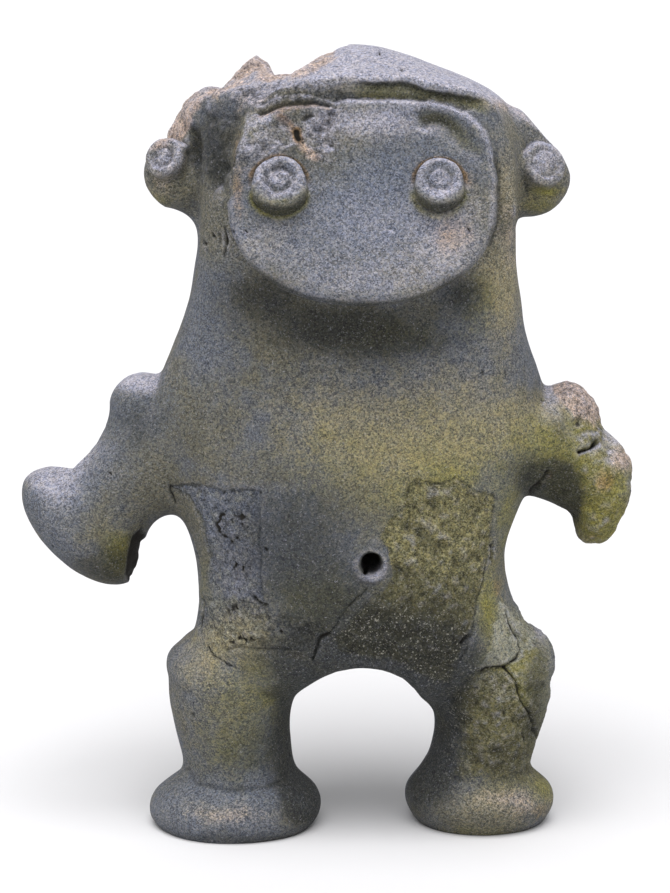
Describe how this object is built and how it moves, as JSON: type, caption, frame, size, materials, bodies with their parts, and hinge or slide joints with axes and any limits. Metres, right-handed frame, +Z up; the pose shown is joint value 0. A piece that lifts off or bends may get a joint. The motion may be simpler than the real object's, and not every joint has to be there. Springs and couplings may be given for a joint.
{
  "type": "clay figurine",
  "caption": "Standing fired-clay figurine with a tilted mask-like face plate, button eyes, ear discs, stub arms and flared feet, worn and repaired",
  "frame": {"origin": "on the ground plane under the soles, at the middle of the footprint box", "axes": "+Z up through the crown, -Y out of the face, +X to the viewer's right when looking at the face"},
  "size_m": [0.1926, 0.0866, 0.2472],
  "materials": {
    "fired_clay": "unglazed fired clay, matt and grainy with coarse temper, blue-grey to olive"
  },
  "bodies": {
    "root": {"dogu_figurine": "fired_clay"}
  },
  "joints": []
}
